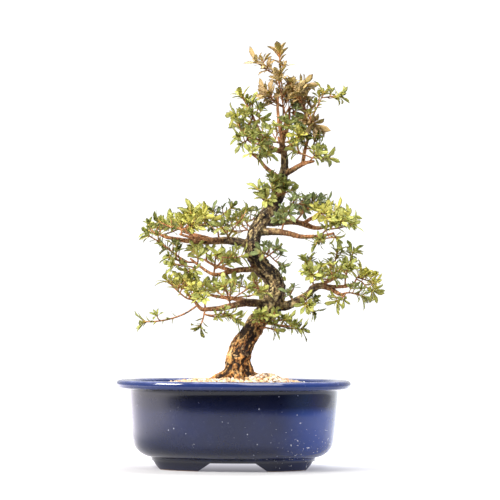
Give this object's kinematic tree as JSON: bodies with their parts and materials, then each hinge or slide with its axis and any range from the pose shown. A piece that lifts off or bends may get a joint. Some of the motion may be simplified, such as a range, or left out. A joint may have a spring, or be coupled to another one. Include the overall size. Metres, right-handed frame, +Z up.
{
  "type": "satsuki azalea bonsai",
  "caption": "Satsuki azalea bonsai with a curved trunk and tiered leafy branches, rooted in grains in an oval blue-glazed pot on short feet.",
  "frame": {"origin": "centre of the bounding box's underside, in the plane of the feet's soles", "axes": "+Z up; -Y is the front of the tree, as the picture shows it; +X is to the right in that view"},
  "size_m": [0.2893, 0.1994, 0.4652],
  "materials": {
    "blue_glaze": "gloss",
    "grains": "matte",
    "mesh_plastic": "matte",
    "bark": "matte",
    "leaf_green": "satin",
    "leaf_bright": "satin",
    "leaf_dark": "satin",
    "leaf_bronze": "satin"
  },
  "bodies": {
    "root": {"pot": "blue_glaze", "soil": "grains", "drainage_mesh_left": "mesh_plastic", "drainage_mesh_right": "mesh_plastic", "trunk": "bark", "leafy_stem_01": "leaf_dark", "leafy_stem_02": "leaf_green", "leafy_stem_03": "leaf_green", "leafy_stem_04": "leaf_green", "leafy_stem_05": "leaf_green", "leafy_stem_06": "leaf_green", "leafy_stem_07": "leaf_bright", "leafy_stem_08": "leaf_green", "leafy_stem_09": "leaf_green", "leafy_stem_10": "leaf_green", "leafy_stem_11": "leaf_green", "leafy_stem_12": "leaf_green", "leafy_stem_13": "leaf_green", "leafy_stem_14": "leaf_green", "leafy_stem_15": "leaf_green", "leafy_stem_16": "leaf_green", "leafy_stem_17": "leaf_green", "leafy_stem_18": "leaf_bright", "leafy_stem_19": "leaf_dark", "leafy_stem_20": "leaf_green", "leafy_stem_21": "leaf_green", "leafy_stem_22": "leaf_bright", "leafy_stem_23": "leaf_green", "leafy_stem_24": "leaf_green", "leafy_stem_25": "leaf_dark", "leafy_stem_26": "leaf_green", "leafy_stem_27": "leaf_green", "leafy_stem_28": "leaf_green", "leafy_stem_29": "leaf_dark", "leafy_stem_30": "leaf_green", "leafy_stem_31": "leaf_bright", "leafy_stem_32": "leaf_green", "leafy_stem_33": "leaf_green", "leafy_stem_34": "leaf_dark", "leafy_stem_35": "leaf_green", "leafy_stem_36": "leaf_green", "leafy_stem_37": "leaf_dark", "leafy_stem_38": "leaf_green", "leafy_stem_39": "leaf_green", "leafy_stem_40": "leaf_bright", "leafy_stem_41": "leaf_green", "leafy_stem_42": "leaf_green", "leafy_stem_43": "leaf_bright", "leafy_stem_44": "leaf_green", "leafy_stem_45": "leaf_green", "leafy_stem_46": "leaf_green", "leafy_stem_47": "leaf_green", "leafy_stem_48": "leaf_bronze", "leafy_stem_49": "leaf_bright", "leafy_stem_50": "leaf_bright", "leafy_stem_51": "leaf_bronze", "leafy_stem_52": "leaf_green", "leafy_stem_53": "leaf_bronze", "leafy_stem_54": "leaf_dark", "leafy_stem_55": "leaf_green"}
  },
  "joints": []
}
